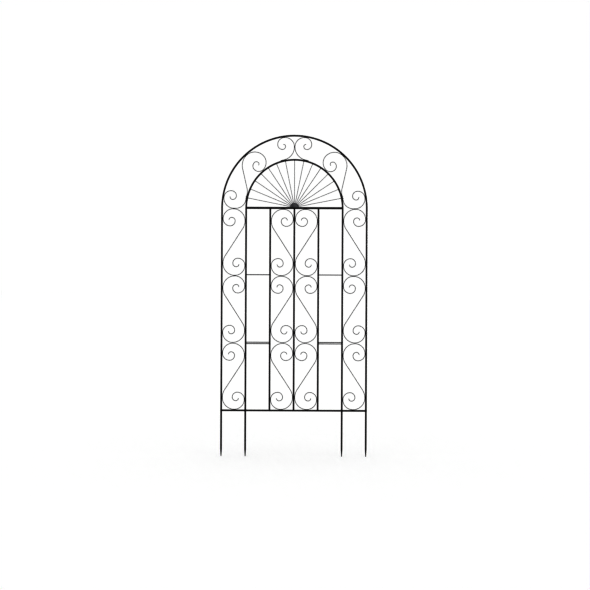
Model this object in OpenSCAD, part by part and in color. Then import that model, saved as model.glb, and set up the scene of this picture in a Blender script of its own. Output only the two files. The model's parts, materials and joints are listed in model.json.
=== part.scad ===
// Flat garden trellis with an arched top, in welded round tube and wire.
// Two panels, one above the other: the upper panel lifts off seven pins in the lower one.
// Origin at the middle of the base, between the leg tips. X across, Y through, Z up.

/* [Overall] */
// Distance between the centrelines of neighbouring uprights
pitch = 150; // [125:5:200]
// Height of the bottom rail above the leg tips
leg_length = 285; // [150:5:400]
// Height of the joint between the panels above the bottom rail
lower_height = 420; // [380:5:560]
// Height of the crossbar, and of the arch centre, above the joint
upper_height = 840; // [780:5:1100]

/* [Tubes and rods] */
// Outer diameter of the uprights, the arches and the bottom rail
tube_d = 10; // [8:0.5:13]
// Wall of every tube
tube_wall = 1; // [0.8:0.1:2]
// Outer diameter of the crossbar
crossbar_d = 12.7; // [11:0.1:16]
// Diameter of the rungs
rung_d = 5; // [3:0.5:6]
// Height of the upper rungs above the joint, as a share of the height of the crossbar
rung_share = 0.505; // [0.3:0.005:0.7]
// Diameter of the scroll wire
wire_d = 3.5; // [3:0.5:5]
// Diameter of the sunburst rays
ray_d = 3; // [2.5:0.5:5]
// How far the end of a tube or rung is shaped round the tube it is welded to
cope_depth = 2; // [1:0.5:2.5]
// How deep two wires, or a wire and a tube, melt into each other at a weld
weld = 0.1; // [0.05:0.05:0.2]
// How deep the flat end of a ray melts into the inner arch
ray_weld = 0.05; // [0.02:0.01:0.1]

/* [Legs] */
// Length of the pointed end
tip_length = 44; // [20:1:80]
// Diameter of the blunt end
tip_d = 4.5; // [2:0.5:6]
// How far the ring of weld round a leg reaches above and below the bottom rail
collar_reach = 2; // [1:0.5:5]
// Thickness of the ring of weld
collar_wall = 0.5; // [0.3:0.1:1]

/* [Joint between the panels] */
// Length of a joint pin above the joint
pin_reach = 40; // [20:5:60]
// Length of a joint pin below the joint
pin_root = 40; // [20:5:60]
// Gap all round between a joint pin and the upper tube
pin_clearance = 0.1; // [0.05:0.05:0.3]
// Length of the tapered end of a joint pin
pin_lead = 4; // [2:0.5:8]
// Diameter of the flat at the end of a joint pin
pin_nose_d = 5; // [3:0.5:6]
// Distance of each joint rung from the joint
joint_rung_offset = 4.4; // [4:0.1:10]
// Gap between a scroll and the joint
joint_gap = 0.8; // [0.4:0.1:3]

/* [Scrolls] */
// How much larger the radius of a scroll's first bend is than its second
bend_excess = 12; // [0:1:20]
// Radius of the bend that leads into the diagonal of a scroll
shoulder_r = 88; // [80:1:95]
// Quarter-turn radii of the curl of a column scroll, from outside in
column_curl = [44, 31, 22, 16]; // [8:1:50]
// Quarter-turn radii of the upper curl of an arch scroll
arch_curl = [39, 31, 18, 12]; // [8:1:50]
// Quarter-turn radii of the curl of an apex scroll
apex_curl = [43, 29, 18, 12]; // [8:1:50]
// Length of the flat at the bottom of an arch scroll's lower loop
arch_loop_flat = 12; // [4:1:20]
// Depth of an arch scroll's lower loop below the arch centre
arch_loop_drop = 3; // [1:0.5:6]
// Radius of the bend where an arch scroll leaves the inner arch
arch_leave_r = 80; // [60:5:100]
// Angle over which an arch scroll lies along the inner arch
arch_hug = 6; // [4:0.5:8]
// Angle above the horizontal at which an arch scroll meets the outer arch
arch_meet = 48; // [45:1:53]
// Height above the arch centre at which the two apex scrolls meet, as a share of the ring
apex_meet = 0.537; // [0.5:0.01:0.6]
// Angle over which the tail of an apex scroll lies along the inner arch
apex_tail = 4; // [2:0.5:8]

/* [Sunburst] */
// Number of rays
ray_count = 15; // [9:2:15]
// Radius of the hub
hub_r = 26; // [26:1:45]
// Radius of the raised face of the hub
hub_face_r = 18; // [12:1:24]
// Thickness of the hub at its rim
hub_rim = 6; // [5:0.5:8]
// Thickness of the hub at its raised face
hub_thick = 10; // [8:0.5:14]
// Gap between the lowest ray and the crossbar, at the hub
ray_gap = 1; // [0.5:0.1:3]

/* [Hidden] */
$fn = 48;
columns = 6;
quarter = 90;
tube_r = tube_d / 2;
bore_r = tube_r - tube_wall;
wire_r = wire_d / 2;
joint_z = leg_length + lower_height;
arch_z = joint_z + upper_height;
outer_r = 3 * pitch;
inner_r = 2 * pitch;
collar_r = tube_r + collar_wall;
collar_height = tube_d + 2 * collar_reach;
iron = [0.09, 0.09, 0.1];
wire_colour = [0.2, 0.2, 0.21];

// The sleeve that joins two steps of a wire: the gap it covers on each side, its length, its wall
sleeve_gap = 0.2;
sleeve_length = 1.2;
sleeve_wall = 0.04;

// Radii, about the arch centre, of a wire that lies against the outer or the inner arch
outer_touch = outer_r - tube_r - wire_r + weld;
inner_touch = inner_r + tube_r + wire_r - weld;

// A column scroll fills the clear width between two uprights
scroll_width = pitch - tube_d - wire_d + 2 * weld;
first_bend_r = (scroll_width + bend_excess) / 2;
second_bend_r = (scroll_width - bend_excess) / 2;

// The lower loop of an arch scroll fills the ring between the arches
arch_loop_r = (outer_touch - inner_touch - arch_loop_flat) / 2;

// The point that the rays aim at lies this far above the crossbar's centreline
ray_step = 180 / (ray_count + 1);
fan_lift = crossbar_d / 2 + ray_gap + ray_d / 2 / cos(ray_step) - hub_r * sin(ray_step);

// The rows of scrolls fill each panel from its floor to its ceiling
upper_floor = joint_z + joint_gap;
crossbar_ceiling = arch_z - crossbar_d / 2 + weld;
arch_ceiling = arch_z - arch_loop_drop - wire_r + 2 * weld;
lower_floor = leg_length + tube_r - weld;
lower_ceiling = joint_z - joint_gap;

// Which way the scrolls of each column lean in the top row: 1 leans right, -1 leans left
scroll_columns = [1, 3, 4, 6];
leans = [1, -1, 1, -1];

sides = ["left", "right"];
thirds = ["left", "centre", "right"];
function two_digits(n) = str(n < 10 ? "0" : "", n);
ray_names = [for (i = [1:ray_count]) str("ray_", two_digits(i))];
upper_scroll_names = [for (c = [1:4], row = [1:2]) str("upper_scroll_", c, "_", row)];
lower_scroll_names = [for (c = [1:4]) str("lower_scroll_", c)];

// Wires are drawn as a chain of steps. A place is [x, z, heading]. A step is [length, 0] for
// a straight, or [radius, turn] for a bend, where a positive turn goes anticlockwise.
function bend_centre(place, step) =
    let (side = sign(step[1]))
    [place[0] - side * step[0] * sin(place[2]), place[1] + side * step[0] * cos(place[2])];

function after(place, step) =
    step[1] == 0
    ? [place[0] + step[0] * cos(place[2]), place[1] + step[0] * sin(place[2]), place[2]]
    : let (
        centre = bend_centre(place, step),
        heading = place[2] + step[1],
        reach = sign(step[1]) * step[0]
    )
    [centre[0] + reach * sin(heading), centre[1] - reach * cos(heading), heading];

function places(start, steps) =
    [for (i = 0, p = start; i < len(steps); p = after(p, steps[i]), i = i + 1) p];

function quarter_turns(radii, side) = [for (r = radii) [r, side * quarter]];

// A step stops short of both its ends, and a sleeve a hair wider than the wire closes the gap
module wire_step(place, step, r) {
    if (step[1] == 0) {
        translate([place[0], place[1], 0])
            rotate([0, quarter, place[2]])
                translate([0, 0, sleeve_gap])
                    cylinder(r = r, h = step[0] - 2 * sleeve_gap);
    } else {
        gap_angle = sleeve_gap / step[0] * 180 / PI;
        first = step[1] > 0 ? place[2] - quarter : place[2] + quarter + step[1];
        centre = bend_centre(place, step);
        translate([centre[0], centre[1], 0])
            rotate([0, 0, first + gap_angle])
                rotate_extrude(angle = abs(step[1]) - 2 * gap_angle)
                    translate([step[0], 0])
                        circle(r = r);
    }
}

module sleeve(place, r) {
    translate([place[0], place[1], 0])
        rotate([0, quarter, place[2]])
            translate([0, 0, -sleeve_length / 2])
                cylinder(r = r + sleeve_wall, h = sleeve_length);
}

module wire(start, steps, r) {
    starts = places(start, steps);
    for (i = [0:len(steps) - 1]) wire_step(starts[i], steps[i], r);
    for (i = [0:len(steps) - 1]) sleeve(starts[i], r);
}

// Turns a drawing in the XY plane up into the plane of the trellis
module upright() {
    rotate([quarter, 0, 0]) children();
}

module mirrored(side) {
    scale_x = side == "left" ? 0 : 1;
    mirror([scale_x, 0, 0]) children();
}

// Straight lengths of tube and rod
module upright_tube(x, low, high) {
    translate([x, 0, low])
        difference() {
            cylinder(r = tube_r, h = high - low);
            translate([0, 0, -1]) cylinder(r = bore_r, h = high - low + 2);
        }
}

module level_rod(from_x, to_x, z, r) {
    translate([from_x, 0, z])
        rotate([0, quarter, 0])
            cylinder(r = r, h = to_x - from_x);
}

module level_tube(from_x, to_x, z, r) {
    difference() {
        level_rod(from_x, to_x, z, r);
        level_rod(from_x - 1, to_x + 1, z, r - tube_wall);
    }
}

module upright_core(x, low, high, r) {
    translate([x, 0, low]) cylinder(r = r, h = high - low);
}

// Hoops: half a ring, with a straight leg down to the joint on each side
module arch_tube(radius, outside, inside) {
    translate([0, 0, arch_z])
        upright()
            rotate_extrude(angle = 180)
                translate([radius, 0])
                    difference() {
                        circle(r = outside);
                        if (inside > 0) circle(r = inside);
                    }
}

module hoop(radius) {
    color(iron) {
        arch_tube(radius, tube_r, bore_r);
        for (x = [-radius, radius]) upright_tube(x, joint_z, arch_z);
    }
}

module outer_hoop() {
    hoop(outer_r);
}

module inner_hoop() {
    hoop(inner_r);
}

module crossbar() {
    reach = inner_r - tube_r + cope_depth;
    color(iron)
        difference() {
            level_tube(-reach, reach, arch_z, crossbar_d / 2);
            arch_tube(inner_r, tube_r, 0);
            for (x = [-inner_r, inner_r]) upright_core(x, arch_z - crossbar_d, arch_z, tube_r);
        }
}

module upper_post(x) {
    color(iron)
        difference() {
            upright_tube(x, joint_z, arch_z - crossbar_d / 2 + cope_depth);
            level_rod(x - tube_d, x + tube_d, arch_z, crossbar_d / 2);
        }
}

module lower_post(x) {
    color(iron)
        difference() {
            upright_tube(x, leg_length + tube_r - cope_depth, joint_z);
            level_rod(x - tube_d, x + tube_d, leg_length, tube_r);
        }
}

// A rung crosses one empty column, on the side given
module rung(side, z) {
    color(iron)
        mirrored(side)
            difference() {
                level_rod(
                    -inner_r + tube_r - cope_depth,
                    -pitch - tube_r + cope_depth,
                    z,
                    rung_d / 2
                );
                for (x = [-inner_r, -pitch])
                    upright_core(x, z - rung_d, z + rung_d, tube_r);
            }
}

// Sunburst
module sunburst_hub() {
    color(wire_colour)
        difference() {
            translate([0, 0, arch_z + fan_lift])
                upright()
                    rotate_extrude(angle = 180)
                        polygon([
                            [0, -hub_thick / 2],
                            [hub_face_r, -hub_thick / 2],
                            [hub_r, -hub_rim / 2],
                            [hub_r, hub_rim / 2],
                            [hub_face_r, hub_thick / 2],
                            [0, hub_thick / 2]
                        ]);
            level_rod(-hub_r - 1, hub_r + 1, arch_z, crossbar_d / 2);
        }
}

// Distance from the point that the rays aim at to the inner face of the inner arch
function ray_end(angle) =
    let (face = inner_r - tube_r + ray_weld)
    sqrt(pow(face, 2) - pow(fan_lift * cos(angle), 2)) - fan_lift * sin(angle);

module ray(number) {
    angle = 180 - number * ray_step;
    start = hub_r - weld;
    color(wire_colour)
        translate([0, 0, arch_z + fan_lift])
            rotate([0, quarter - angle, 0])
                translate([0, 0, start])
                    cylinder(r = ray_d / 2, h = ray_end(angle) - start);
}

// A column scroll: two equal halves, turned half a turn about the middle of the diagonal
module column_scroll(column, row_floor, height, lean) {
    half_height = height / 2;
    shoulder_x = scroll_width / 2 - shoulder_r;
    shoulder_z = half_height - wire_r - first_bend_r;
    span = norm([shoulder_x, shoulder_z]);
    straight = sqrt(pow(span, 2) - pow(shoulder_r, 2));
    slope = atan2(shoulder_z, shoulder_x) - asin(shoulder_r / span);
    steps = concat(
        [[straight, 0], [shoulder_r, quarter - slope]],
        quarter_turns(concat([first_bend_r, second_bend_r], column_curl), 1)
    );
    color(wire_colour)
        translate([(column - (columns + 1) / 2) * pitch, 0, row_floor + half_height])
            upright()
                mirror([lean > 0 ? 0 : 1, 0, 0])
                    for (half = [0, 180])
                        rotate(half) wire([0, 0, slope], steps, wire_r);
}

module upper_scroll(number, row) {
    column = scroll_columns[number - 1];
    ceiling = column == 1 || column == columns ? arch_ceiling : crossbar_ceiling;
    height = (ceiling - upper_floor + weld) / 2;
    lean = leans[number - 1] * (row == 1 ? 1 : -1);
    column_scroll(column, upper_floor + (2 - row) * (height - weld), height, lean);
}

module lower_scroll(number) {
    column_scroll(
        scroll_columns[number - 1],
        lower_floor,
        lower_ceiling - lower_floor,
        leans[number - 1]
    );
}

// An arch scroll, drawn both ways from the point where its lower loop meets the inner arch
module arch_scroll(side) {
    loop_z = arch_loop_r - arch_loop_drop;
    inner_angle = asin(loop_z / (inner_touch + arch_loop_r));
    outer_angle = asin(loop_z / (outer_touch - arch_loop_r));
    flat = (outer_touch - arch_loop_r) * cos(outer_angle)
        - (inner_touch + arch_loop_r) * cos(inner_angle);
    start = [-inner_touch * cos(inner_angle), inner_touch * sin(inner_angle)];
    down = concat(
        [
            [arch_loop_r, inner_angle - quarter],
            [flat, 0],
            [arch_loop_r, -quarter - outer_angle]
        ],
        quarter_turns(column_curl, -1)
    );
    leave_angle = inner_angle + arch_hug;
    leave_reach = inner_touch + arch_leave_r;
    meet_reach = outer_touch - shoulder_r;
    gap_x = leave_reach * cos(leave_angle) - meet_reach * cos(arch_meet);
    gap_z = meet_reach * sin(arch_meet) - leave_reach * sin(leave_angle);
    gap = norm([gap_x, gap_z]);
    bends = arch_leave_r + shoulder_r;
    heading = atan2(gap_z, gap_x) + asin(bends / gap);
    loop_turn = quarter + asin(bend_excess / (2 * (outer_touch - first_bend_r)));
    up = concat(
        [
            [inner_touch, -arch_hug],
            [arch_leave_r, heading - quarter + leave_angle],
            [sqrt(pow(gap, 2) - pow(bends, 2)), 0],
            [shoulder_r, arch_meet - heading],
            [first_bend_r, -loop_turn],
            [second_bend_r, -loop_turn]
        ],
        quarter_turns(arch_curl, -1)
    );
    color(wire_colour)
        mirrored(side)
            translate([0, 0, arch_z])
                upright() {
                    wire([start[0], start[1], -quarter - inner_angle], down, wire_r);
                    wire([start[0], start[1], quarter - inner_angle], up, wire_r);
                }
}

// An apex scroll, drawn both ways from the point where it meets its mirror image
module apex_scroll(side) {
    meet_x = wire_r - weld / 2;
    meet_z = inner_touch + apex_meet * (outer_touch - inner_touch);
    start = [-meet_x, meet_z];
    tail_r = (pow(meet_x, 2) + pow(meet_z, 2) - pow(inner_touch, 2)) / (2 * (inner_touch - meet_x));
    tail_angle = atan2(meet_z, meet_x + tail_r);
    loop_r = (pow(outer_touch, 2) - pow(meet_x, 2) - pow(meet_z, 2))
        / (2 * (outer_touch + meet_x));
    loop_angle = atan2(meet_z, meet_x + loop_r);
    down = [[tail_r, -tail_angle], [inner_touch, apex_tail]];
    up = concat(
        [[loop_r, 180 - loop_angle]],
        quarter_turns(apex_curl, 1)
    );
    color(wire_colour)
        mirrored(side)
            translate([0, 0, arch_z])
                upright() {
                    wire([start[0], start[1], -quarter], down, wire_r);
                    wire([start[0], start[1], quarter], up, wire_r);
                }
}

// A leg: a pointed tube up to the joint, with a ring of weld where the rail meets it
module leg(side, radius) {
    color(iron)
        mirrored(side)
            translate([-radius, 0, 0]) {
                cylinder(r1 = tip_d / 2, r2 = tube_r, h = tip_length);
                upright_tube(0, tip_length, joint_z);
                translate([0, 0, leg_length - collar_height / 2])
                    difference() {
                        cylinder(r = collar_r, h = collar_height);
                        translate([0, 0, -1]) cylinder(r = tube_r, h = collar_height + 2);
                    }
            }
}

module bottom_rail(from_x, to_x) {
    shorten = collar_r - cope_depth;
    color(iron)
        difference() {
            level_tube(from_x + shorten, to_x - shorten, leg_length, tube_r);
            for (x = [from_x, to_x])
                upright_core(x, leg_length - tube_d, leg_length + tube_d, collar_r);
        }
}

// Seven pins: pressed into the lower tubes, free in the upper ones
module joint_pins() {
    free_r = bore_r - pin_clearance;
    color(wire_colour)
        for (i = [-3:3])
            translate([i * pitch, 0, joint_z]) {
                translate([0, 0, -pin_root]) cylinder(r = bore_r, h = pin_root);
                cylinder(r = free_r, h = pin_reach - pin_lead);
                translate([0, 0, pin_reach - pin_lead])
                    cylinder(r1 = free_r, r2 = pin_nose_d / 2, h = pin_lead);
            }
}

outer_hoop();
inner_hoop();
crossbar();
sunburst_hub();
for (i = [0:2]) {
    upper_post((i - 1) * pitch);
    lower_post((i - 1) * pitch);
}
for (i = [1:ray_count]) {
    ray(i);
}
for (c = [1:4], row = [1:2]) {
    upper_scroll(c, row);
}
for (c = [1:4]) {
    lower_scroll(c);
}
for (s = sides) {
    arch_scroll(s);
    apex_scroll(s);
    rung(s, joint_z + rung_share * upper_height);
    rung(s, joint_z + joint_rung_offset);
    rung(s, joint_z - joint_rung_offset);
    leg(s, outer_r);
    leg(s, inner_r);
}
bottom_rail(-outer_r, -inner_r);  // bottom_rail_left
bottom_rail(-inner_r, inner_r);  // bottom_rail_middle
bottom_rail(inner_r, outer_r);  // bottom_rail_right
joint_pins();
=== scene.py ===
import itertools
import json
import math

import bpy
import numpy as np
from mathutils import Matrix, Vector, noise
from mathutils.bvhtree import BVHTree

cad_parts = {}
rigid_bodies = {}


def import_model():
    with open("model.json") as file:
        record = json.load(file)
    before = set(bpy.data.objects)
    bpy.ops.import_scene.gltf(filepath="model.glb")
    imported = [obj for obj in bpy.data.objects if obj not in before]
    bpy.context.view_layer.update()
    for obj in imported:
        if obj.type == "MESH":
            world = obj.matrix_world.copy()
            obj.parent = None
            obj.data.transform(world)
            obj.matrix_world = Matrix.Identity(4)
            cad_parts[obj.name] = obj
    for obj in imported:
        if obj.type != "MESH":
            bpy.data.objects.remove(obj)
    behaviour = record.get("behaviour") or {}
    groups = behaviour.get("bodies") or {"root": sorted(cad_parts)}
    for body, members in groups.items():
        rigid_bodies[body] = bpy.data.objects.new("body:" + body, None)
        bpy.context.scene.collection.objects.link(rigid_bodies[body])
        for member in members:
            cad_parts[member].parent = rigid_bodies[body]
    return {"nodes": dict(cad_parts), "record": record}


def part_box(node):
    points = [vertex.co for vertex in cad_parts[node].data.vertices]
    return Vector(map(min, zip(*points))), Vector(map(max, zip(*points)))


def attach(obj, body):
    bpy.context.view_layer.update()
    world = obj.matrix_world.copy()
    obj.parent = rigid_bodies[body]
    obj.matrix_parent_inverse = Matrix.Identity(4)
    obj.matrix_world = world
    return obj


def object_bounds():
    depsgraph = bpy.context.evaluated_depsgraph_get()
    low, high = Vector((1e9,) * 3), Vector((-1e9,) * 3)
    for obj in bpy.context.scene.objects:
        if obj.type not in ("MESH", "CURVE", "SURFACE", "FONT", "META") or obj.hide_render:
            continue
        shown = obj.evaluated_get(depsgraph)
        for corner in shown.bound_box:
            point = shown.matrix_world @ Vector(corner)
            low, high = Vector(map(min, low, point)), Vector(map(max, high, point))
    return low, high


MM = 0.001
RIGHT = Vector((1, 0, 0))
BACK = Vector((0, 1, 0))
UP = Vector((0, 0, 1))

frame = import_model()
nodes = frame["nodes"]
cad_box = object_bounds()

# ---------------------------------------------------------------- sizes, taken from the CAD nodes


def middle(node):
    low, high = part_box(node)
    return (low + high) / 2


def extent(node):
    low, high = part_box(node)
    return high - low


TUBE_R = extent("upper_centre_post").x / 2
RUNG_R = extent("upper_rung_left").z / 2
CROSSBAR_R = extent("crossbar").z / 2
RAIL_Z = middle("bottom_rail_middle").z
ARCH_Z = middle("crossbar").z
OUTER_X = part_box("outer_hoop")[1].x - TUBE_R
INNER_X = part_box("inner_hoop")[1].x - TUBE_R
POST_X = middle("upper_right_post").x
RAYS = sorted(n for n in nodes if n.startswith("ray_"))
SCROLLS = sorted(n for n in nodes if "scroll" in n)
RODS = sorted(n for n in nodes if n not in RAYS and n not in SCROLLS and n != "joint_pins")
BODIES = frame["record"]["behaviour"]["bodies"]

# ---------------------------------------------------------------- materials


class Finish:
    """A node material, with one short call for each kind of node that the coats share."""

    def __init__(self, name):
        self.material = bpy.data.materials.new(name)
        self.material.use_nodes = True
        self.tree = self.material.node_tree
        self.shader = self.tree.nodes["Principled BSDF"]
        self.place = self.add("ShaderNodeTexCoord").outputs["Object"]

    def add(self, kind, **values):
        """Adds a node. Each value is one of the node's settings or, failing that, an input."""
        made = self.tree.nodes.new(kind)
        for key, value in values.items():
            if hasattr(made, key):
                setattr(made, key, value)
            else:
                made.inputs[key].default_value = value
        return made

    def link(self, output, target):
        self.tree.links.new(output, target)

    def noise(self, scale, detail=2.0, roughness=0.5, place=None):
        texture = self.add("ShaderNodeTexNoise", Scale=scale, Detail=detail, Roughness=roughness)
        self.link(place or self.place, texture.inputs["Vector"])
        return texture.outputs["Fac"]

    def ramp(self, factor, low, high, dark, light):
        """A colour that goes from dark to light while the factor goes from low to high."""
        made = self.add("ShaderNodeValToRGB")
        for element, position, colour in zip(made.color_ramp.elements, (low, high), (dark, light)):
            element.position = position
            element.color = (*colour, 1.0)
        self.link(factor, made.inputs["Fac"])
        return made.outputs["Color"]

    def mix(self, factor, below, above):
        """The colour below, covered by an even colour where the factor is high."""
        made = self.add("ShaderNodeMix", data_type="RGBA", blend_type="MIX")
        self.link(factor, made.inputs["Factor"])
        self.link(below, made.inputs["A"])
        made.inputs["B"].default_value = (*above, 1.0)
        return made.outputs["Result"]

    def span(self, value, start, end):
        """Maps a value from the first range to the second, and no further."""
        made = self.add("ShaderNodeMapRange", clamp=True)
        for side, (low, high) in (("From", start), ("To", end)):
            made.inputs[side + " Min"].default_value = low
            made.inputs[side + " Max"].default_value = high
        self.link(value, made.inputs["Value"])
        return made.outputs["Result"]

    def sum(self, first, second):
        made = self.add("ShaderNodeMath", operation="ADD")
        self.link(first, made.inputs[0])
        self.link(second, made.inputs[1])
        return made.outputs["Value"]

    def relief(self, height, strength, distance):
        made = self.add("ShaderNodeBump", Strength=strength, Distance=distance)
        self.link(height, made.inputs["Height"])
        self.link(made.outputs["Normal"], self.shader.inputs["Normal"])

    def set(self, **values):
        """Sets inputs of the shader that are the same all over. An underscore stands for a space."""
        for key, value in values.items():
            self.shader.inputs[key.replace("_", " ")].default_value = value


BLACK = (0.0, 0.0, 0.0)
WHITE = (1.0, 1.0, 1.0)
# Noise scales, from wide patches of tone to the fine orange peel of powder coat
PATCH_SCALE = 38.0
RUN_SCALE = 150.0
SCUFF_SCALE = 260.0
SPECKLE_SCALE = 620.0
PEEL_SCALE = 900.0
# How fully a fleck covers the coat, and how much paler than the coat's light tone it is
FLECK_COVER = (0.45, 0.45, 0.45)
FLECK_LIFT = 2.1
# How strongly the peel and the runs bend the light
PEEL_STRENGTH = 0.55
# Colour of a scuff, and how much closer the ground brings the coat to being worn through
SCUFFED_STEEL = (0.11, 0.085, 0.065)
SCUFF_GAIN = 0.22


def scuffed(finish, coat, height):
    """The coat, worn through in spots that thin out from the ground up to the height."""
    spots = finish.noise(SCUFF_SCALE, 6.0, 0.7)
    axes = finish.add("ShaderNodeSeparateXYZ")
    finish.link(finish.place, axes.inputs["Vector"])
    near_ground = finish.span(axes.outputs["Z"], (height, 0.0), (0.0, SCUFF_GAIN))
    bare = finish.ramp(finish.sum(spots, near_ground), 0.74, 0.80, BLACK, WHITE)
    return finish.mix(bare, coat, SCUFFED_STEEL)


def paint(name, dark, light, rough, bump, gloss_level, wear=0.0):
    """Satin powder coat: two close greys in soft patches, an orange-peel surface, and pale flecks.

    Bump is the depth of the peel, and wear is how far above the ground the coat is scuffed."""
    finish = Finish(name)
    patches = finish.noise(PATCH_SCALE, 4.0, 0.6)
    speckle = finish.noise(SPECKLE_SCALE, 3.0, 0.55)
    peel = finish.noise(PEEL_SCALE)
    runs = finish.noise(RUN_SCALE, 3.0)

    tone = finish.ramp(patches, 0.34, 0.68, dark, light)
    fleck = finish.ramp(speckle, 0.60, 0.74, BLACK, FLECK_COVER)
    coat = finish.mix(fleck, tone, [FLECK_LIFT * c for c in light])
    if wear > 0:
        coat = scuffed(finish, coat, wear)
    finish.link(coat, finish.shader.inputs["Base Color"])

    gloss = finish.span(runs, (0.3, 0.7), (rough - 0.07, rough + 0.12))
    finish.link(gloss, finish.shader.inputs["Roughness"])
    finish.relief(finish.sum(peel, runs), PEEL_STRENGTH, bump)
    finish.set(Specular_IOR_Level=gloss_level)
    return finish.material


def drawn_steel(name):
    """Bare drawn rod: fine marks along it and a light tarnish."""
    finish = Finish(name)
    along_rod = finish.add("ShaderNodeMapping", Scale=(1.0, 1.0, 0.02))
    finish.link(finish.place, along_rod.inputs["Vector"])
    marks = finish.noise(2600.0, place=along_rod.outputs["Vector"])
    tarnish = finish.noise(90.0, 5.0)

    tone = finish.ramp(tarnish, 0.32, 0.62, (0.20, 0.18, 0.16), (0.46, 0.45, 0.44))
    finish.link(tone, finish.shader.inputs["Base Color"])
    gloss = finish.span(marks, (0.0, 1.0), (0.26, 0.5))
    finish.link(gloss, finish.shader.inputs["Roughness"])
    finish.relief(marks, 0.3, 0.03 * MM)
    finish.set(Metallic=1.0)
    return finish.material


TUBE = paint("tube_coat", (0.009, 0.009, 0.0095), (0.018, 0.018, 0.019), 0.34, 0.06 * MM, 0.12)
# Painted shade: the legs take a darker copy of the tube paint, to offset the bright floor's light on
# them. The scuffs near the ground on it are real wear.
LEG_SHADE_AND_WEAR = paint("leg_coat_painted_shade_and_wear", (0.008, 0.008, 0.0085), (0.016, 0.016, 0.017), 0.34, 0.06 * MM, 0.10, wear=0.06)
WIRE = paint("wire_coat", (0.020, 0.020, 0.021), (0.040, 0.040, 0.042), 0.40, 0.05 * MM, 0.25)
HUB = paint("hub_coat", (0.038, 0.038, 0.040), (0.070, 0.070, 0.073), 0.50, 0.12 * MM, 0.2)
WELD = paint("weld_coat", (0.009, 0.009, 0.0095), (0.018, 0.018, 0.019), 0.36, 0.12 * MM, 0.12)
STEEL = drawn_steel("pin_steel_drawn")
FINISH_OF = {"tube_paint": TUBE, "wire_paint": WIRE, "hub_paint": HUB, "pin_steel": STEEL}


def finish_nodes():
    """Puts the finishes in the slots of the CAD nodes."""
    slot_of = {part["node"]: part["material_slot"] for part in frame["record"]["subparts"]}
    for name, obj in nodes.items():
        # The legs take the darker copy of the tube paint, which is painted shade.
        finish = LEG_SHADE_AND_WEAR if "_leg_" in name else FINISH_OF[slot_of[name]]
        for material_slot in obj.material_slots:
            material_slot.material = finish


finish_nodes()

# ---------------------------------------------------------------- weld beads

# No bead stands further out than the crossbar, the thickest tube
BEAD_REACH_Y = cad_box[1].y - 0.05 * MM
# Points round a bead, and steps along each kind
BEAD_SIDES = 14
SEAM_STEPS = 26
SCROLL_BEAD_STEPS = 18
RAY_BEAD_STEPS = 12
# How blunt the ends of an open bead are, and the least thickness there as a share of the middle's
END_POWER = 3.2
END_SHARE = 0.05
# What moves each bead to its own place in the noise
SEED_STEP = (7.31, 3.17, 1.93)
# Distance from one ripple of a bead to the next, and its height as a share of the bead
RIPPLE_PITCH = 1.9 * MM
RIPPLE = 0.07
# Height of the lumps as a share of the bead, and how close together they are
LUMP = 0.22
LUMP_SCALE = 420.0
# Wires closer than this to a tube or to each other are welded there
TOUCH = 0.3 * MM
# Two contacts further apart than this get a bead each
CONTACT_GAP = 7 * MM
# A scroll's bead runs past the contact by this factor, and its half length stays in this range
OVERRUN = 1.2
SCROLL_BEAD_HALF = (6 * MM, 11 * MM)
# Half the width and half the depth of a scroll's bead
SCROLL_BEAD = (2.5 * MM, 3.6 * MM)
# Half the thickness of the ring of weld round the end of a tube, a rung and the crossbar
TUBE_SEAM = 1.2 * MM
RUNG_SEAM = 0.9 * MM
CROSSBAR_SEAM = 1.1 * MM
# The weld ring stays this far out of a bar's centreline at least, as a share of the bar's radius
LEAST_REACH = 0.35
# How far the bead at either end of a ray lies towards the hub from that end
RAY_BEAD_INWARD = 0.6 * MM
# Half the length and half the thickness of a ray's bead at the hub and at the inner arch
RAY_BEAD_AT_HUB = (3.4 * MM, 2.5 * MM)
RAY_BEAD_AT_ARCH = (2.4 * MM, 2.2 * MM)

seeds = itertools.count(1)


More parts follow.
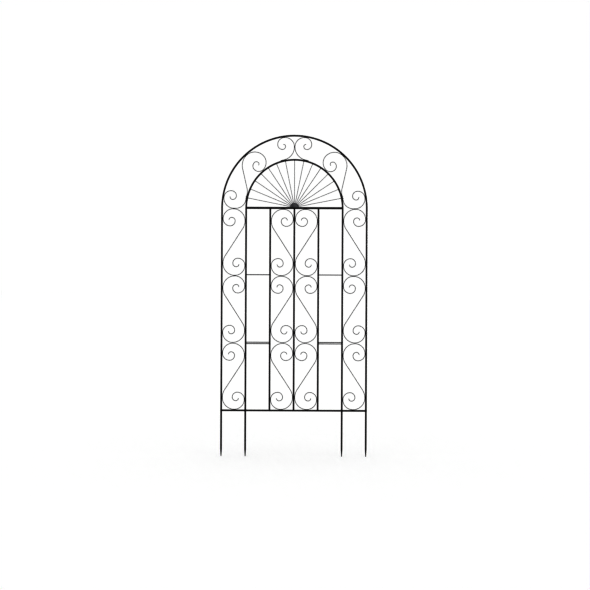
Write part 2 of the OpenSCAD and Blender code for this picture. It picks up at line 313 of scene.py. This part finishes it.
class Beads:
    """Collects lumpy beads of weld that ride on one body, and makes them one mesh."""

    def __init__(self):
        self.points = []
        self.faces = []

    def bead(self, path, normal, width, depth, closed=False):
        """A rounded bead along a path. Its thickness is twice width along the normal, and twice depth
        square to that. The normal is one vector, or a list with one for each point of the path."""
        count = len(path)
        base = len(self.points)
        seed = next(seeds)
        own_place = Vector([step * seed for step in SEED_STEP])
        length = sum((path[i + 1] - path[i]).length for i in range(count - 1))
        for i, centre in enumerate(path):
            t = i / (count - 1)
            swell = 1.0 if closed else math.sqrt(max(0.0, 1.0 - abs(2.0 * t - 1.0) ** END_POWER))
            ripple = 1.0 + RIPPLE * math.sin(2.0 * math.pi * t * length / RIPPLE_PITCH)
            across = normal[i] if isinstance(normal, list) else normal
            along = (path[min(i + 1, count - 1)] - path[max(i - 1, 0)]).normalized()
            out = along.cross(across).normalized()
            for k in range(BEAD_SIDES):
                angle = 2.0 * math.pi * k / BEAD_SIDES
                turn = Vector((math.cos(angle), 0.0, math.sin(angle)))
                lump = 1.0 + LUMP * noise.noise(centre * LUMP_SCALE + own_place + turn)
                offset = across * (width * math.cos(angle)) + out * (depth * math.sin(angle))
                point = centre + offset * (max(swell, END_SHARE) * ripple * lump)
                point.y = max(-BEAD_REACH_Y, min(BEAD_REACH_Y, point.y))
                self.points.append(point)
        self.skin(base, count, closed)

    def skin(self, base, count, closed):
        """Faces between the rings of points from base on, and over both ends unless it is closed."""
        for i in range(count if closed else count - 1):
            a = base + i * BEAD_SIDES
            b = base + ((i + 1) % count) * BEAD_SIDES
            for k in range(BEAD_SIDES):
                n = (k + 1) % BEAD_SIDES
                self.faces.append((a + k, a + n, b + n, b + k))
        if not closed:
            last = base + (count - 1) * BEAD_SIDES
            self.faces.append(tuple(base + k for k in reversed(range(BEAD_SIDES))))
            self.faces.append(tuple(last + k for k in range(BEAD_SIDES)))

    def seam(self, centre, along, small_r, big_r, side, size):
        """The ring of weld where the end of a small rod meets the side of a bigger round bar.

        Along points from the bar's centreline into the rod, and side is the bar's own direction."""
        path = []
        normals = []
        for i in range(SEAM_STEPS):
            angle = 2.0 * math.pi * i / SEAM_STEPS
            through = small_r * math.sin(angle)
            reach = math.sqrt(max(0.0, big_r ** 2 - through ** 2))
            radial = side * math.cos(angle) + BACK * math.sin(angle)
            path.append(centre + along * max(reach, LEAST_REACH * big_r) + radial * small_r)
            normals.append((radial + along).normalized())
        self.bead(path, normals, size, size, closed=True)

    def straight(self, centre, along, half, width, depth, steps):
        """A straight bead with its middle at the centre."""
        start, end = centre - along * half, centre + along * half
        path = [start.lerp(end, i / steps) for i in range(steps + 1)]
        self.bead(path, along.cross(BACK), width, depth)

    def build(self, name, body, slot, material):
        mesh = bpy.data.meshes.new(name)
        mesh.from_pydata([tuple(p) for p in self.points], [], self.faces)
        mesh.update()
        for polygon in mesh.polygons:
            polygon.use_smooth = True
        mesh.materials.append(material)
        obj = bpy.data.objects.new(name, mesh)
        bpy.context.scene.collection.objects.link(obj)
        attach(obj, body)


def surface_of(name):
    """A search tree over the surface of a CAD node."""
    mesh = nodes[name].data
    points = [v.co.copy() for v in mesh.vertices]
    return BVHTree.FromPolygons(points, [tuple(p.vertices) for p in mesh.polygons])


SURFACES = {name: surface_of(name) for name in RODS + SCROLLS}


def contact_runs(wire, other):
    """Stretches of a wire that lie against another piece: a list of arrays of points."""
    low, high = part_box(other)
    margin = Vector((TOUCH, TOUCH, TOUCH))
    low, high = low - margin, high + margin
    touching = []
    for vertex in nodes[wire].data.vertices:
        p = vertex.co
        if low.x <= p.x <= high.x and low.z <= p.z <= high.z:
            if SURFACES[other].find_nearest(p, TOUCH)[0] is not None:
                touching.append((p.x, p.z))
    runs = []
    for x, z in sorted(touching, key=lambda q: (q[1], q[0])):
        for run in runs:
            if min((x - a) ** 2 + (z - b) ** 2 for a, b in run) < CONTACT_GAP ** 2:
                run.append((x, z))
                break
        else:
            runs.append([(x, z)])
    return [np.array(run) for run in runs if len(run) > 2]


def boxes_meet(first, second):
    """Whether the boxes of two nodes overlap, as seen from the front."""
    a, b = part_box(first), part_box(second)
    return a[0].x <= b[1].x and b[0].x <= a[1].x and a[0].z <= b[1].z and b[0].z <= a[1].z


def weld_contact(beads, run):
    """A bead along one stretch where a scroll lies against its neighbour."""
    centre = run.mean(0)
    spread = run - centre
    direction = np.linalg.svd(spread, full_matrices=False)[2][0]
    reach = float(np.abs(spread @ direction).max())
    along = Vector((direction[0], 0.0, direction[1]))
    half = min(max(OVERRUN * reach, SCROLL_BEAD_HALF[0]), SCROLL_BEAD_HALF[1])
    beads.straight(Vector((centre[0], 0.0, centre[1])), along, half, *SCROLL_BEAD, SCROLL_BEAD_STEPS)


def weld_scrolls(beads, members):
    """Beads wherever a scroll lies against a tube, a rail, a rung or another scroll."""
    rods = [n for n in RODS if n in members and "joint_rung" not in n]
    scrolls = [n for n in SCROLLS if n in members]
    for wire in scrolls:
        for other in rods + [n for n in scrolls if n > wire]:
            if boxes_meet(wire, other):
                for run in contact_runs(wire, other):
                    weld_contact(beads, run)


def weld_rods(upper, lower):
    """Seams at the ends of the posts, the rungs, the crossbar and the bottom rail."""
    for x in (-POST_X, 0.0, POST_X):
        upper.seam(Vector((x, 0, ARCH_Z)), -UP, TUBE_R, CROSSBAR_R, RIGHT, TUBE_SEAM)
        lower.seam(Vector((x, 0, RAIL_Z)), UP, TUBE_R, TUBE_R, RIGHT, TUBE_SEAM)
    for rung, beads in (("upper_rung", upper), ("joint_rung_upper", upper), ("joint_rung_lower", lower)):
        z = middle(rung + "_left").z
        for side in (-1, 1):
            for x, towards in ((INNER_X, -1), (POST_X, 1)):
                inward = RIGHT * (side * towards)
                beads.seam(Vector((side * x, 0, z)), inward, RUNG_R, TUBE_R, UP, RUNG_SEAM)
    for side in (-1, 1):
        coped_r = CROSSBAR_R - 0.6 * MM
        upper.seam(Vector((side * INNER_X, 0, ARCH_Z)), RIGHT * -side, coped_r, TUBE_R, UP, CROSSBAR_SEAM)
        collar_r = TUBE_R + 0.4 * MM
        for x, towards in ((INNER_X, -1), (INNER_X, 1), (OUTER_X, -1)):
            inward = RIGHT * (side * towards)
            lower.seam(Vector((side * x, 0, RAIL_Z)), inward, TUBE_R, collar_r, UP, TUBE_SEAM)


def weld_rays(beads):
    """A bead at the hub and at the inner arch on each ray."""
    for name in RAYS:
        points = np.array([v.co for v in nodes[name].data.vertices])
        distance = np.hypot(points[:, 0], points[:, 2] - ARCH_Z)
        inner = points[distance < distance.min() + 2.5 * MM].mean(0)
        outer = points[distance > distance.max() - 1.0 * MM].mean(0)
        along = Vector((outer[0] - inner[0], 0, outer[2] - inner[2])).normalized()
        for end, (half, thick) in ((inner, RAY_BEAD_AT_HUB), (outer, RAY_BEAD_AT_ARCH)):
            centre = Vector((end[0], 0, end[2])) - along * RAY_BEAD_INWARD
            beads.straight(centre, along, half, thick, thick, RAY_BEAD_STEPS)


def weld():
    beads = {body: Beads() for body in BODIES}
    for body, members in BODIES.items():
        weld_scrolls(beads[body], members)
    weld_rods(beads["upper_panel"], beads["lower_panel"])
    weld_rays(beads["upper_panel"])
    beads["upper_panel"].build("welds_upper", "upper_panel", "tube_paint", WELD)
    beads["lower_panel"].build("welds_lower", "lower_panel", "tube_paint", WELD)


weld()

# ---------------------------------------------------------------- studio

# Far enough for the edge of the floor to be lost in the background
FLOOR_REACH = 1500.0
# The floor throws back this share of the light, and gives off the rest of the background's white
FLOOR_TONE = (0.6, 0.6, 0.6, 1.0)
FLOOR_GLOW = 0.404
WORLD_STRENGTH = 1.003

# Sizes of the strip lights, and the points that they are turned to
SIDE_STRIP = (0.5, 2.6)
TOP_STRIP = (3.0, 0.5)
SIDE_AIM = Vector((0, 0, 1.1))
TOP_AIM = Vector((0, 0, 1.3))


def make_floor():
    r = FLOOR_REACH
    mesh = bpy.data.meshes.new("floor")
    mesh.from_pydata([(-r, -r, 0), (r, -r, 0), (r, r, 0), (-r, r, 0)], [], [(0, 1, 2, 3)])
    finish = Finish("pale_floor")
    finish.set(Base_Color=FLOOR_TONE, Roughness=1.0, Specular_IOR_Level=0.0)
    finish.set(Emission_Color=(*WHITE, 1.0), Emission_Strength=FLOOR_GLOW)
    mesh.materials.append(finish.material)
    obj = bpy.data.objects.new("floor", mesh)
    bpy.context.scene.collection.objects.link(obj)
    return obj


def make_world():
    world = bpy.data.worlds.new("studio")
    bpy.context.scene.world = world
    world.use_nodes = True
    background = world.node_tree.nodes["Background"]
    background.inputs["Color"].default_value = (*WHITE, 1.0)
    background.inputs["Strength"].default_value = WORLD_STRENGTH


def softbox(lit, name, place, aim, size, power):
    """A strip light that shines on the pieces in the lit collection alone."""
    light = bpy.data.lights.new(name, "AREA")
    light.shape = "RECTANGLE"
    light.size, light.size_y = size
    light.energy = power
    obj = bpy.data.objects.new(name, light)
    obj.location = place
    obj.rotation_euler = (aim - Vector(place)).to_track_quat("-Z", "Y").to_euler()
    bpy.context.scene.collection.objects.link(obj)
    obj.light_linking.receiver_collection = lit


def make_lights(floor):
    """Strips on the painted pieces alone, so that the floor stays as plain as the background.

    The bare steel pins are bright enough by the world alone, and burn out in the strips."""
    lit = bpy.data.collections.new("lit")
    for obj in bpy.data.objects:
        if obj.type == "MESH" and obj not in (floor, nodes["joint_pins"]):
            lit.objects.link(obj)
    softbox(lit, "key", (-2.9, -3.6, 1.5), SIDE_AIM, SIDE_STRIP, 230)
    softbox(lit, "fill", (3.4, -2.6, 1.5), SIDE_AIM, SIDE_STRIP, 100)
    softbox(lit, "top", (0.3, -1.8, 4.2), TOP_AIM, TOP_STRIP, 120)
    softbox(lit, "back_left", (-3.2, 3.0, 1.6), SIDE_AIM, SIDE_STRIP, 60)
    softbox(lit, "back_right", (2.8, 3.4, 1.6), SIDE_AIM, SIDE_STRIP, 80)
    softbox(lit, "back_top", (-0.3, 1.8, 4.2), TOP_AIM, TOP_STRIP, 50)


make_world()
make_lights(make_floor())

# ---------------------------------------------------------------- camera and view

# Square on, as far off as makes the picture this wide at the trellis
DISTANCE = 8.0
VIEW_WIDTH = 3.67
SENSOR_WIDTH = 36.0
# The picture's middle from the trellis's middle, and its turn about the line of sight
OFF_CENTRE_X = 0.006
OFF_CENTRE_Z = 0.004
ROLL = math.radians(-0.26)
# Makes the darkness of a wire thinner than a pixel follow its width
VIEW_GAMMA = 0.44


def make_camera():
    data = bpy.data.cameras.new("camera")
    data.sensor_width = SENSOR_WIDTH
    data.lens = SENSOR_WIDTH * DISTANCE / VIEW_WIDTH
    data.clip_end = 5000.0
    camera = bpy.data.objects.new("camera", data)
    mid_z = (cad_box[0].z + cad_box[1].z) / 2
    camera.location = (OFF_CENTRE_X, -DISTANCE, mid_z + OFF_CENTRE_Z)
    camera.rotation_euler = (math.radians(90), ROLL, 0)
    bpy.context.scene.collection.objects.link(camera)
    bpy.context.scene.camera = camera


make_camera()
view = bpy.context.scene.view_settings
view.view_transform = "Standard"
view.gamma = VIEW_GAMMA
